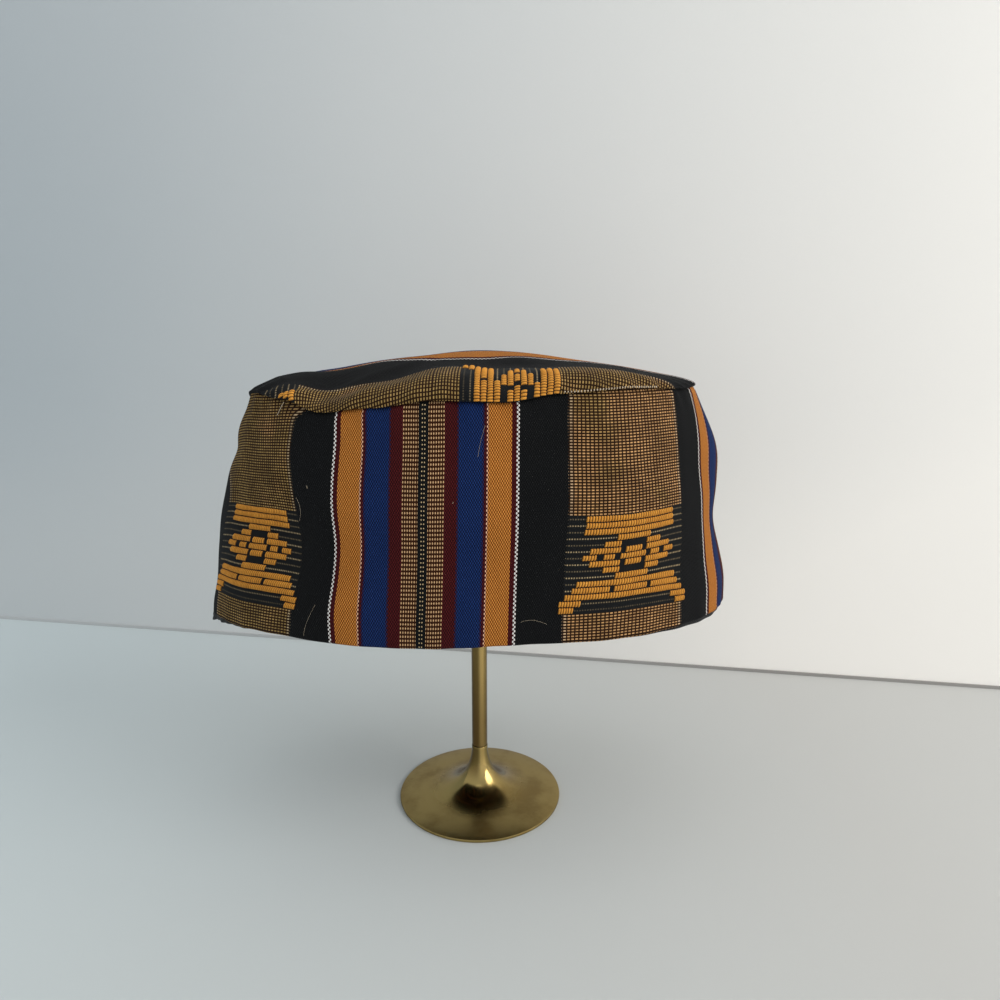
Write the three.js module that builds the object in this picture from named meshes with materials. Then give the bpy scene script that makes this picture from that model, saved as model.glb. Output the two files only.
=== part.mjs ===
// A kufi, the soft brimless cap of striped and brocaded cotton, hanging over a slender brass stand.
// Millimetres, +Z up, origin at the centre of the stand's flat underside, the cap's front towards -Y.
// The cap hangs from the stand's head by its crown, so its walls keep a long oval, flared to the rim.
import * as THREE from "three";

const CLEARANCE = 0.3; // between pieces that meet

// Brass stand
const STAND_HEIGHT = 211.7;
const FOOT_RADIUS = 39;
const FOOT_THICKNESS = 2.4;
const FOOT_EDGE_HEIGHT = 1.4;
const FLARE_RADIUS = 31;
const FLARE_HEIGHT = 26;
const STEM_RADIUS = 3.6;
const HEAD_RADIUS = 15;
const HEAD_THICKNESS = 6;
const HEAD_DOME = 3.5;
const HEAD_UNDERSIDE_RADIUS = 7.2;

// Cap
const RIM_HALF_LENGTH = 115.5;
const RIM_HALF_DEPTH = 66;
const SEAM_HALF_LENGTH = 97;
const SEAM_HALF_DEPTH = 50;
const WALL_HEIGHT = 92.5;
const WALL_BELLY = 2.2; // how far the middle of the wall stands out past a straight flare
const CAP_SHIFT = -4; // the oval's middle lies a little to the left of the stem
const CLOTH_THICKNESS = 2;
const SHOULDER_RISE = 7; // the rounded edge of the crown above its seam, at the front and back
const SHOULDER_END_RISE = 2; // and at the two ends, which are pulled to flat corners
const SHOULDER_REACH = 11;
const TENT_RISE = 10.5; // from the shoulder up to the stand's head
const TENT_ROUNDING = 0.35; // how blunt the peak over the stand's head is, as a share of the crown
const CROWN_LIP = 0.8; // how far the crown's edge stands out over the wall
const FACING_HEIGHT = 16;
const FACING_THICKNESS = 1;
const FACING_SHOWS = 0.8; // the black facing peeps out below the rim

// Facets
const CAP_SIDES = 72;
const WALL_STEPS = 9;
const TENT_STEPS = 5;
const SHOULDER_STEPS = 4;
const FACING_STEPS = 2;
const STAND_SIDES = 40;
const FLARE_STEPS = 8;
const HEAD_STEPS = 4;

// Where the cap's seam and rim ride up or sag. at is in degrees round from the front, towards +X,
// and up is a share of the wall's height.
const SEAM_WAVES = [
  { at: -180, up: 0.0 },
  { at: -120, up: -0.01 },
  { at: -90, up: -0.012 },
  { at: -66, up: 0.03 },
  { at: -48, up: -0.012 },
  { at: -35, up: -0.063 },
  { at: -22, up: -0.04 },
  { at: -6, up: -0.013 },
  { at: 9, up: -0.026 },
  { at: 23, up: 0.006 },
  { at: 42, up: 0.033 },
  { at: 68, up: 0.023 },
  { at: 82, up: 0.03 },
  { at: 130, up: 0.01 },
];
const RIM_WAVES = [
  { at: -180, up: 0.01 },
  { at: -130, up: -0.02 },
  { at: -90, up: -0.058 },
  { at: -62, up: -0.02 },
  { at: -35, up: 0.0 },
  { at: -8, up: 0.002 },
  { at: 14, up: 0.016 },
  { at: 34, up: 0.006 },
  { at: 60, up: 0.014 },
  { at: 90, up: 0.014 },
  { at: 135, up: 0.02 },
];

// Soft bulges and dents of the wall: where they are, how far they spread, and how far they push the
// wall out, as a share of its height. at and wide are in degrees, up and tall shares of the height.
const WALL_FOLDS = [
  { at: -90, up: 0.5, wide: 26, tall: 0.2, out: 0.018 },
  { at: -90, up: 0.02, wide: 22, tall: 0.12, out: 0.022 },
  { at: -90, up: 1, wide: 20, tall: 0.12, out: -0.038 },
  { at: -84, up: 0.86, wide: 16, tall: 0.07, out: 0.006 },
  { at: -80, up: 0.76, wide: 20, tall: 0.06, out: -0.014 },
  { at: -58, up: 0.72, wide: 12, tall: 0.2, out: -0.02 },
  { at: -42, up: 0.35, wide: 11, tall: 0.22, out: -0.024 },
  { at: -20, up: 0.3, wide: 16, tall: 0.5, out: 0.014 },
  { at: 8, up: 0.25, wide: 14, tall: 0.4, out: -0.012 },
  { at: 22, up: 0.9, wide: 7, tall: 0.22, out: -0.02 },
  { at: 36, up: 0.62, wide: 15, tall: 0.25, out: 0.02 },
  { at: 52, up: 0.3, wide: 13, tall: 0.2, out: -0.022 },
  { at: 88, up: 0.72, wide: 24, tall: 0.22, out: 0.056 },
  { at: 88, up: 0.38, wide: 20, tall: 0.12, out: -0.02 },
  { at: 84, up: 0.12, wide: 24, tall: 0.12, out: 0.018 },
  { at: 138, up: 0.45, wide: 16, tall: 0.35, out: -0.03 },
  { at: 168, up: 0.6, wide: 14, tall: 0.4, out: 0.02 },
  { at: -160, up: 0.35, wide: 12, tall: 0.35, out: -0.024 },
  { at: -128, up: 0.6, wide: 15, tall: 0.3, out: 0.022 },
];

// Sags and swells of the crown: where they are and how far they spread, as shares of the seam's
// half length and half depth, and how far they lift the cloth, as a share of the tent's rise.
const CROWN_FOLDS = [
  { along: -0.56, back: -0.5, long: 0.24, deep: 0.34, lift: -0.3 },
  { along: -0.25, back: -0.62, long: 0.14, deep: 0.3, lift: 0.16 },
  { along: 0.5, back: -0.5, long: 0.3, deep: 0.3, lift: 0.1 },
  { along: -0.78, back: 0, long: 0.11, deep: 0.5, lift: 0.16 },
  { along: -0.2, back: 0.55, long: 0.2, deep: 0.3, lift: -0.22 },
  { along: 0.45, back: 0.45, long: 0.24, deep: 0.3, lift: -0.16 },
];

const RIM_HEIGHT =
  STAND_HEIGHT + CLEARANCE + CLOTH_THICKNESS - TENT_RISE - SHOULDER_RISE - CLEARANCE - WALL_HEIGHT;
const SEAM_HEIGHT = RIM_HEIGHT + WALL_HEIGHT;

const lerp = THREE.MathUtils.lerp;
const hill = (distance) => Math.exp(-distance * distance);

// The shortest way round from one angle to another, in degrees.
const turnBetween = (from, to) => THREE.MathUtils.euclideanModulo(to - from + 180, 360) - 180;

// A smooth ring of heights through the rows of a wave table.
function wave(table, angle) {
  const degrees = THREE.MathUtils.euclideanModulo(THREE.MathUtils.radToDeg(angle) + 180, 360) - 180;
  const next = table.findIndex((row) => row.at > degrees);
  const after = next < 0 ? { ...table[0], at: table[0].at + 360 } : table[next];
  const before = next < 0 ? table[table.length - 1] : table[next - 1];
  const share = (degrees - before.at) / (after.at - before.at);
  return lerp(before.up, after.up, THREE.MathUtils.smoothstep(share, 0, 1)) * WALL_HEIGHT;
}

// How far the folds push the wall out at a place on it.
function wallPush(angle, up) {
  const degrees = THREE.MathUtils.radToDeg(angle);
  const folds = WALL_FOLDS.reduce(
    (sum, fold) =>
      sum +
      fold.out * hill(turnBetween(fold.at, degrees) / fold.wide) * hill((up - fold.up) / fold.tall),
    0,
  );
  return folds * WALL_HEIGHT + WALL_BELLY * Math.sin(Math.PI * THREE.MathUtils.clamp(up, 0, 1));
}

// A point of the wall: up runs from 0 at the rim to 1 at the seam, inset is how far in from the face.
function wallPoint(angle, up, inset) {
  const out = wallPush(angle, up) - inset;
  return new THREE.Vector3(
    CAP_SHIFT + (lerp(RIM_HALF_LENGTH, SEAM_HALF_LENGTH, up) + out) * Math.sin(angle),
    -(lerp(RIM_HALF_DEPTH, SEAM_HALF_DEPTH, up) + out) * Math.cos(angle),
    lerp(RIM_HEIGHT + wave(RIM_WAVES, angle), SEAM_HEIGHT + wave(SEAM_WAVES, angle), up),
  );
}

// How far the crown's folds lift it at a place in plan.
function crownLift(x, y) {
  const folds = CROWN_FOLDS.reduce(
    (sum, fold) =>
      sum +
      fold.lift *
        hill((x / SEAM_HALF_LENGTH - fold.along) / fold.long) *
        hill((y / SEAM_HALF_DEPTH - fold.back) / fold.deep),
    0,
  );
  return folds * TENT_RISE;
}

// The height share of the tent that the stand's head pushes up, 1 at the peak and 0 at the seam.
function tent(reach) {
  const slope = (share) => Math.hypot(share, TENT_ROUNDING) - TENT_ROUNDING;
  return 1 - slope(reach) / slope(1);
}

// A point of the crown. station runs from 0 at the peak to 1 at the shoulder and 2 at the seam;
// depth is how far below the outer face it lies.
function crownPoint(angle, station, depth) {
  const edge = wallPoint(angle, 1, depth - CROWN_LIP);
  const shoulderShare = SHOULDER_REACH / Math.hypot(edge.x, edge.y);
  const bend = (Math.max(station - 1, 0) * Math.PI) / 2;
  const reach =
    station <= 1 ? station * (1 - shoulderShare) : 1 - shoulderShare * (1 - Math.sin(bend));
  const x = edge.x * reach;
  const y = edge.y * reach;
  const base = lerp(SEAM_HEIGHT, edge.z, reach * reach) + CLEARANCE;
  const endRise = lerp(SHOULDER_END_RISE, SHOULDER_RISE, Math.cos(angle) ** 2);
  const shoulder = (lerp(SHOULDER_RISE, endRise, reach ** 2) - depth) * Math.cos(bend);
  const fade = Math.cos(bend) * (1 - hill(reach / TENT_ROUNDING));
  return new THREE.Vector3(x, y, base + shoulder + TENT_RISE * tent(reach) + crownLift(x, y) * fade);
}

const roundPoint = (angle, radius, height) =>
  new THREE.Vector3(radius * Math.sin(angle), -radius * Math.cos(angle), height);

// A profile turned round the Z axis, with each of its points placed by a function of the angle.
function turned(profile, sides, place) {
  const geometry = new THREE.LatheGeometry(
    profile.map(([across, along]) => new THREE.Vector2(across, along)),
    sides,
  );
  const position = geometry.getAttribute("position");
  for (let i = 0; i < position.count; i++) {
    const angle = (2 * Math.PI * (Math.floor(i / profile.length) % sides)) / sides;
    const point = place(angle, ...profile[i % profile.length]);
    position.setXYZ(i, point.x, point.y, point.z);
  }
  geometry.computeVertexNormals();
  return geometry;
}

const steps = (count, make) => Array.from({ length: count + 1 }, (_, i) => make(i / count));

// A closed ring of cloth between two heights of the wall: up its outer face, down its inner one.
function ringProfile(low, high, outer, inner, count) {
  const up = steps(count, (share) => [outer, lerp(low, high, share)]);
  const down = steps(count, (share) => [inner, lerp(high, low, share)]);
  return [...up, ...down, up[0]];
}

function piece(name, geometry, color, roughness, metalness) {
  const mesh = new THREE.Mesh(
    geometry,
    new THREE.MeshStandardMaterial({ color, roughness, metalness }),
  );
  mesh.name = name;
  return mesh;
}

const brass = (name, geometry) => piece(name, geometry, 0x9a7b3c, 0.32, 1);
const cotton = (name, geometry, color) => piece(name, geometry, color, 0.9, 0);

function standFoot() {
  const flare = steps(FLARE_STEPS, (share) => {
    const height = (1 - share) ** 2;
    const spread = (1 - Math.sqrt(height)) ** 2;
    return [
      lerp(STEM_RADIUS, FLARE_RADIUS, spread),
      lerp(FOOT_THICKNESS, FLARE_HEIGHT, height),
    ];
  });
  const profile = [
    [0, FLARE_HEIGHT],
    ...flare,
    [FOOT_RADIUS, FOOT_EDGE_HEIGHT],
    [FOOT_RADIUS, 0],
    [0, 0],
  ];
  return brass("stand_foot", turned(profile.reverse(), STAND_SIDES, roundPoint));
}

function standStem() {
  const bottom = FLARE_HEIGHT + CLEARANCE;
  const top = STAND_HEIGHT - HEAD_THICKNESS - CLEARANCE;
  const profile = [
    [0, bottom],
    [STEM_RADIUS, bottom],
    [STEM_RADIUS, top],
    [0, top],
  ];
  return brass("stand_stem", turned(profile, STAND_SIDES / 2, roundPoint));
}

function standHead() {
  const dome = steps(HEAD_STEPS, (share) => {
    const radius = HEAD_RADIUS * Math.sin((share * Math.PI) / 2);
    return [radius, STAND_HEIGHT - HEAD_DOME * (radius / HEAD_RADIUS) ** 2];
  }).reverse();
  const underside = STAND_HEIGHT - HEAD_THICKNESS;
  const profile = [[0, underside], [HEAD_UNDERSIDE_RADIUS, underside], ...dome];
  return brass("stand_head", turned(profile, STAND_SIDES, roundPoint));
}

function sideBand() {
  const profile = ringProfile(0, 1, 0, CLOTH_THICKNESS, WALL_STEPS);
  const place = (angle, inset, up) => wallPoint(angle, up, inset);
  return cotton("side_band", turned(profile, CAP_SIDES, place), 0x4a3a20);
}

function crownTop() {
  const down = [
    ...steps(TENT_STEPS, (share) => share),
    ...steps(SHOULDER_STEPS, (share) => 1 + share).slice(1),
  ];
  const profile = [
    ...down.map((station) => [station, 0]),
    ...down.toReversed().map((station) => [station, CLOTH_THICKNESS]),
  ].reverse();
  return cotton("crown_top", turned(profile, CAP_SIDES, crownPoint), 0x2b2a26);
}

function hemFacing() {
  const outer = CLOTH_THICKNESS + CLEARANCE;
  const profile = ringProfile(
    -FACING_SHOWS / WALL_HEIGHT,
    FACING_HEIGHT / WALL_HEIGHT,
    outer,
    outer + FACING_THICKNESS,
    FACING_STEPS,
  );
  const place = (angle, inset, up) => wallPoint(angle, up, inset);
  return cotton("hem_facing", turned(profile, CAP_SIDES, place), 0x15161a);
}

const kufi = new THREE.Group();
kufi.add(standFoot(), standStem(), standHead(), sideBand(), crownTop(), hemFacing());

export default kufi;
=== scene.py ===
import math

import bpy
import numpy as np
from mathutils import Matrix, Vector


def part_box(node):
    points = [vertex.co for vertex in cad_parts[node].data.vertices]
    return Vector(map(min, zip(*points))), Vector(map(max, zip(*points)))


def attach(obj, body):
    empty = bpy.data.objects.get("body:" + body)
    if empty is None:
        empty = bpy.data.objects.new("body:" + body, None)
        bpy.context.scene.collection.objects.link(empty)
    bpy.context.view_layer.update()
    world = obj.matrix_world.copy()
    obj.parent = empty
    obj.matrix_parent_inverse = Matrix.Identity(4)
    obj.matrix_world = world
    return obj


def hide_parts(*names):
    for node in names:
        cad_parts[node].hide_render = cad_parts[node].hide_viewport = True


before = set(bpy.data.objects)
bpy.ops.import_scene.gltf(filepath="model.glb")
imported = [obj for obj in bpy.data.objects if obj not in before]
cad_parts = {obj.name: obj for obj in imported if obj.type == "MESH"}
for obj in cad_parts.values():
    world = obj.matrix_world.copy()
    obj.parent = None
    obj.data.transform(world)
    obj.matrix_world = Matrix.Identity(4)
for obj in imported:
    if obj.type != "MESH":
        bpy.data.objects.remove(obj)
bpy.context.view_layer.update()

# A kufi, the soft brimless cap of striped and brocaded cotton, hanging by its crown on a brass stand.
# Blender's units are metres. The cloth is worked out in millimetres and turned to metres as it is placed.
MM = 0.001

# Camera, at the photograph's angle
CAMERA_PLACE = (0.00985, -0.333, 0.218)
CAMERA_PITCH = 12  # degrees below level
CAMERA_LENS = 27.04  # for a 36 mm sensor

# Cap, as hung on the stand, in millimetres
RIM_HALF_LENGTH = 115.5
RIM_HALF_DEPTH = 66
SEAM_HALF_LENGTH = 97
SEAM_HALF_DEPTH = 50
WALL_HEIGHT = 92.5
WALL_BELLY = 2.2
CAP_SHIFT = -4
CLOTH_THICKNESS = 2
CLEARANCE = 0.3
SHOULDER_RISE = 7
SHOULDER_END_RISE = 2
SHOULDER_REACH = 11
TENT_RISE = 10.5
TENT_ROUNDING = 0.35
CROWN_LIP = 0.8
FACING_HEIGHT = 16
FACING_THICKNESS = 1
FACING_SHOWS = 0.8
STAND_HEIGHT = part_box("stand_head")[1][2] / MM
RIM_HEIGHT = STAND_HEIGHT + CLOTH_THICKNESS - TENT_RISE - SHOULDER_RISE - WALL_HEIGHT
SEAM_HEIGHT = RIM_HEIGHT + WALL_HEIGHT

# Where the seam and the rim ride up or sag: degrees round from the front towards +X, share of the height
SEAM_WAVES = [
    (-180, 0), (-120, -0.01), (-90, -0.04), (-66, 0.014), (-48, -0.012), (-35, -0.063), (-22, -0.04),
    (-6, -0.006), (9, -0.014), (23, 0.018), (42, 0.035), (68, 0.023), (82, 0.03), (130, 0.01),
]
RIM_WAVES = [
    (-180, 0.01), (-130, -0.02), (-90, -0.058), (-62, -0.02), (-35, 0), (-8, 0.002), (14, 0.016),
    (34, 0.006), (60, 0.014), (90, 0.014), (135, 0.02),
]
# Bulges and dents of the wall: degrees round, share of the height, their spread in both, how far out
WALL_FOLDS = [
    (-90, 0.5, 26, 0.2, 0.018), (-90, 0.02, 22, 0.12, 0.022), (-90, 1, 20, 0.12, -0.038),
    (-84, 0.86, 16, 0.07, 0.006), (-80, 0.76, 20, 0.06, -0.014), (-58, 0.72, 12, 0.2, -0.02),
    (-42, 0.35, 11, 0.22, -0.024), (-20, 0.3, 16, 0.5, 0.014), (8, 0.25, 14, 0.4, -0.012),
    (22, 0.9, 7, 0.22, -0.02), (36, 0.62, 15, 0.25, 0.02), (52, 0.3, 13, 0.2, -0.022),
    (88, 0.72, 24, 0.22, 0.056), (88, 0.38, 20, 0.12, -0.02), (84, 0.12, 24, 0.12, 0.018),
    (138, 0.45, 16, 0.35, -0.03), (168, 0.6, 14, 0.4, 0.02), (-160, 0.35, 12, 0.35, -0.024),
    (-128, 0.6, 15, 0.3, 0.022),
]
# Sags and swells of the crown: place along and back, their spread in both, lift as a share of the tent
CROWN_FOLDS = [
    (-0.56, -0.5, 0.24, 0.34, -0.3), (-0.25, -0.62, 0.14, 0.3, 0.16), (0.5, -0.5, 0.3, 0.3, 0.1),
    (-0.78, 0, 0.11, 0.5, 0.16), (-0.2, 0.55, 0.2, 0.3, -0.22), (0.45, 0.45, 0.24, 0.3, -0.16),
]

# The crown's left end slopes off straighter and stands higher than its right end
LEFT_FLATTENING = 0.9
LEFT_END_LIFT = 1.6

# How far the crown's cloth has settled below its folds, in millimetres: place along and back, their
# spread in both, drop
CROWN_SETTLING = [
    (10, -22, 46, 14, 2.9),
    (-30, -28, 11, 13, 2.9),
    (-59, -28, 11, 12, 2.9),
    (-22, 2, 14, 14, 0.9),
    (-62, -3, 14, 12, 0.7),
    (18, -16, 9, 3.5, -0.9),
]

# Where ripples of the crown hide cloth behind its front edge: place along, spread, millimetres hidden
CROWN_GATHERS = [
    (-2, 30, 8),
    (36, 12, 3),
    (-86, 10, 7),
]

# Cloth: the stripes repeat symmetrically about the middle of each stripe group
HALF_REPEAT = 81.15
THREAD = 0.48
PICK = 1.64
WARP_FLOAT = 0.28  # how far a warp thread lies up each side of its crest, as a share of the pick
PANEL_HALF_WIDTH = 25.75
BAND_GROUP_MIDDLE = -14.8  # from the front, along the wall
BAND_LEAN = 1.7  # how far the stripes lean to the left from the seam down to the rim
CROWN_GROUP_MIDDLE = 83.4  # from the front seam, across the crown
CROWN_CLOTH_START = 15.7  # where the motif lies along the crown
MOTIF_REPEAT = 104.6
MOTIF_FEET = 10.5  # the lowest row's lower edge, from the rim
MOTIF_ROW = 2.55
MOTIF_COLUMN = 1.06
FLOAT_HALF_HEIGHT = 1.12
FLOAT_PROUD = 0.85
PANEL_ROW = 1.16
PANEL_COLUMN = 1.6

# Where small gathers shift the cloth of the band: degrees round, share of the height, their spread in
# both, millimetres towards +X and upwards
GATHERS = [
    (80, 0.95, 17, 0.6, -10, 0),
    (111, 0.95, 22, 0.6, -7, 0),
    (80, 0.1, 17, 0.4, -4, 0),
    (46, 0.35, 15, 0.4, 2.8, 0.4),
    (56, 0.14, 12, 0.14, 0, -2),
    (20, 0.1, 8, 0.3, -1.4, 0),
    (-57, 0.44, 21, 0.22, 9, 2.6),
    (-38, 0.28, 9, 0.16, 2.4, 0),
    (-41, 0.76, 9, 0.14, -2, 0),
    (-28, 0.6, 8, 0.14, -1.4, 0),
    (-27, 0.14, 8, 0.16, -1.3, 0),
    (-66, 0.58, 11, 0.13, 5, 0),
    (-84, 0.8, 14, 0.3, 5, 0),
    (-74, 0.97, 14, 0.12, 7, 0),
    (68, 0.68, 8, 0.16, -3.4, 0),
    (88, 0.5, 15, 0.35, -7, 0),
    (113, 0.5, 18, 0.35, -4, 0),
    (-40, 1.0, 6, 0.05, 5.5, 0),
]

# Hairs and loose threads caught on the band: radius, and five places by degrees, height and how proud
CAUGHT_HAIRS = [
    (0.03, [(4.8, 0.91, 0.1), (4.3, 0.88, 0.1), (3.6, 0.84, 0.1), (3.4, 0.81, 0.1), (3.1, 0.78, 0.1)]),
    (0.03, [(-38.5, 0.62, 0.1), (-37.1, 0.6, 0.2), (-36.4, 0.57, 0.1), (-36.6, 0.54, 0.2), (-37, 0.52, 0.1)]),
    (0.03, [(-30.4, 0.16, 0.1), (-31.3, 0.12, 0.2), (-32.3, 0.08, 0.1), (-33, 0.05, 0.1), (-33, 0.01, 0.1)]),
    (0.03, [(11, 0.09, 0.1), (12.2, 0.1, 0.1), (13.4, 0.1, 0.2), (14.8, 0.09, 0.1), (16, 0.075, 0.1)]),
    (0.1, [(-47, 0.99, 1.2), (-47.6, 0.98, 0.9), (-48.4, 0.96, 0.5), (-49.1, 0.95, 0.3), (-50, 0.93, 0.2)]),
    (0.07, [(-2.1, 0.594, 0.1), (-2.05, 0.595, 0.1), (-2, 0.596, 0.2), (-2, 0.597, 0.1), (-1.9, 0.6, 0.1)]),
    (
        0.07,
        [(-35.8, 0.68, 0.1), (-35.7, 0.68, 0.1), (-35.6, 0.675, 0.2), (-35.6, 0.67, 0.1), (-35.5, 0.67, 0)],
    ),
]

# Wider than any row below, in millimetres
WIDEST_ROW = 32

# The motif's rows, from the seat at the top down to the feet: spans of floats, in columns out from its middle
MOTIF_ROWS = [
    [(0, 18)],
    [(0, 18)],
    [(0, 18.5)],
    [(0, 6.5)],
    [(5, 11)],
    [(0, 3.25), (5, 16)],
    [(0, 5), (7, 11), (13.5, 18.5)],
    [(0, 3.25), (5, 16)],
    [(5, 11)],
    [(0, 6.5)],
    [(0, 20)],
    [(0, 6.5), (8, 21.5)],
    [(0, 24)],
    [(18, 26)],
    [(20.5, 26)],
]


# The form of the wall and the crown


def hill(distance):
    return np.exp(-distance * distance)


def ease(share):
    return share * share * (3 - 2 * share)


def wave(rows, angle):
    at = np.array([row[0] for row in rows], float)
    up = np.array([row[1] for row in rows], float)
    degrees = (np.degrees(angle) + 180) % 360 - 180
    before = np.clip(np.searchsorted(at, degrees, side="right") - 1, 0, None)
    after = (before + 1) % len(at)
    gap = np.where(after == 0, at[0] + 360, at[after]) - at[before]
    return (up[before] + (up[after] - up[before]) * ease((degrees - at[before]) / gap)) * WALL_HEIGHT


def wall_push(angle, up):
    degrees = np.degrees(angle)
    push = WALL_BELLY * np.sin(np.pi * np.clip(up, 0, 1))
    for at, height, wide, tall, out in WALL_FOLDS:
        turn = (degrees - at + 180) % 360 - 180
        push = push + out * hill(turn / wide) * hill((up - height) / tall) * WALL_HEIGHT
    return push


def unevenness(angle, up):
    """Small ripples of the cloth, puckers along the seam and waves along the rim."""
    broad = 0.4 * np.sin(5 * angle + 9 * up) * np.sin(3 * angle - 4 * up + 1)
    fine = 0.14 * np.sin(21 * angle + 11 * up) * np.sin(17 * angle - 19 * up + 2)
    pucker = 0.3 * hill((1 - up) / 0.07) * np.sin(59 * angle + 2 * np.sin(7 * angle))
    hem = 0.18 * hill(up / 0.07) * np.sin(41 * angle + 2 * np.sin(5 * angle))
    return broad + fine + pucker + hem


def wall_point(angle, up, inset, ripples=0.0):
    angle, up, inset = np.broadcast_arrays(angle, up, inset)
    out = wall_push(angle, up) - inset + ripples * unevenness(angle, up)
    length = RIM_HALF_LENGTH + (SEAM_HALF_LENGTH - RIM_HALF_LENGTH) * up + out
    depth = RIM_HALF_DEPTH + (SEAM_HALF_DEPTH - RIM_HALF_DEPTH) * up + out
    low = RIM_HEIGHT + wave(RIM_WAVES, angle)
    high = SEAM_HEIGHT + wave(SEAM_WAVES, angle)
    return np.stack(
        [CAP_SHIFT + length * np.sin(angle), -depth * np.cos(angle), low + (high - low) * up], axis=-1
    )


def crown_lift(x, y):
    lift = 0
    for along, back, long, deep, share in CROWN_FOLDS:
        lift = lift + share * hill((x / SEAM_HALF_LENGTH - along) / long) * hill(
            (y / SEAM_HALF_DEPTH - back) / deep
        )
    return lift * TENT_RISE


def crown_settled(x, y):
    drop = 0
    for along, back, long, deep, down in CROWN_SETTLING:
        drop = drop + down * hill((x - along) / long) * hill((y - back) / deep)
    return drop


def tent(reach):
    def slope(share):
        return np.hypot(share, TENT_ROUNDING) - TENT_ROUNDING

    return 1 - slope(reach) / slope(1)


def crown_point(angle, station, depth, ripples=0.0):
    """station runs from 0 at the peak to 1 at the shoulder and 2 at the seam."""
    edge = wall_point(angle, 1, depth - CROWN_LIP)
    share = SHOULDER_REACH / np.hypot(edge[..., 0], edge[..., 1])
    bend = np.clip(station - 1, 0, 1) * np.pi / 2
    flattened = ripples * LEFT_FLATTENING * hill((np.degrees(angle) + 90) / 34)
    bow = np.sin(bend) + (bend * 2 / np.pi - np.sin(bend)) * flattened
    drop = 1 - np.cos(bend) + (bend * 2 / np.pi - 1 + np.cos(bend)) * flattened
    reach = np.where(station <= 1, station * (1 - share), 1 - share * (1 - bow))
    x = edge[..., 0] * reach
    y = edge[..., 1] * reach
    base = SEAM_HEIGHT + (edge[..., 2] - SEAM_HEIGHT) * reach**2 + CLEARANCE
    end_rise = SHOULDER_END_RISE + (SHOULDER_RISE - SHOULDER_END_RISE) * np.cos(angle) ** 2
    rise = SHOULDER_RISE + (end_rise - SHOULDER_RISE) * reach**2
    fade = np.cos(bend) * (1 - hill(reach / TENT_ROUNDING))
    rise = rise + flattened * LEFT_END_LIFT * reach**3
    z = base + (rise - depth) * (1 - drop) + TENT_RISE * tent(reach) + crown_lift(x, y) * fade
    pucker = np.sin(47 * angle + 2 * np.sin(5 * angle)) * hill((2 - station) / 0.8)
    soft = np.sin(x / 9 + y / 17) * np.sin(x / 23 - y / 7) * (1 - hill(station / 0.5)) * np.cos(bend)
    push = ripples * (0.28 * pucker * (1 - hill((2 - station) / 0.15)) + 0.25 * soft)
    z = z + push - ripples * crown_settled(x, y) * np.cos(bend)
    return np.stack([x + push * np.sin(angle), y - push * np.cos(angle), z], axis=-1)


# The cloth's own coordinates: across its stripes and along them, in millimetres

TURNS = np.linspace(-np.pi, np.pi, 721)
LEVELS = np.linspace(0, 1, 25)


def measured_arcs():
    """How far round the wall each angle lies from the front, at each level."""
    points = wall_point(TURNS[None, :], LEVELS[:, None], 0)
    steps = np.linalg.norm(np.diff(points, axis=1), axis=-1)
    arcs = np.concatenate([np.zeros((len(LEVELS), 1)), np.cumsum(steps, axis=1)], axis=1)
    return arcs - arcs[:, [len(TURNS) // 2]]


ARCS = measured_arcs()


def arc_at(angle, up):
    level = np.clip(up, 0, 1) * (len(LEVELS) - 1)
    turn = np.clip((angle + np.pi) / (2 * np.pi), 0, 1) * (len(TURNS) - 1)
    row = np.minimum(level.astype(int), len(LEVELS) - 2)
    column = np.minimum(turn.astype(int), len(TURNS) - 2)
    across = turn - column
    lower = ARCS[row, column] * (1 - across) + ARCS[row, column + 1] * across
    upper = ARCS[row + 1, column] * (1 - across) + ARCS[row + 1, column + 1] * across
    return lower + (upper - lower) * (level - row)


def wall_length(angle):
    return np.linalg.norm(wall_point(angle, 1, 0) - wall_point(angle, 0, 0), axis=-1)


def gathered(angle, up):
    """How far the cloth lies from an upright, evenly spread cloth, towards +X and upwards."""
    over = BAND_GROUP_MIDDLE - BAND_LEAN * (1 - up) ** 2
    lift = 0
    for at, height, wide, tall, sideways, upwards in GATHERS:
        share = hill((np.degrees(angle) - at) / wide) * hill((up - height) / tall)
        over = over + sideways * share
        lift = lift + upwards * share
    return over, lift


def band_cloth(angle, up):
    over, lift = gathered(angle, up)
    return arc_at(angle, up) - over, up * wall_length(angle) - lift


def band_place(across, along):
    """The angle and level of a place on the cloth of the band."""
    angle = np.interp(across + BAND_GROUP_MIDDLE, ARCS[len(LEVELS) // 3], TURNS)
    up = along / WALL_HEIGHT
    step = 0.02
    for _ in range(7):
        found_across, found_along = band_cloth(angle, up)
        ahead, _ = band_cloth(angle + step, up)
        slope = np.maximum((ahead - found_across) / step, 30)
        angle = np.clip(angle + (across - found_across) / slope, 0.01 - np.pi, np.pi - 0.03)
        up = np.clip(up + (along - found_along) / WALL_HEIGHT, 0, 1)
    return angle, up


EDGE = wall_point(TURNS, 1, -CROWN_LIP)
EDGE_BEARINGS = np.unwrap(np.arctan2(EDGE[:, 0], -EDGE[:, 1]))
EDGE_DISTANCES = np.hypot(EDGE[:, 0], EDGE[:, 1])


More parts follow.
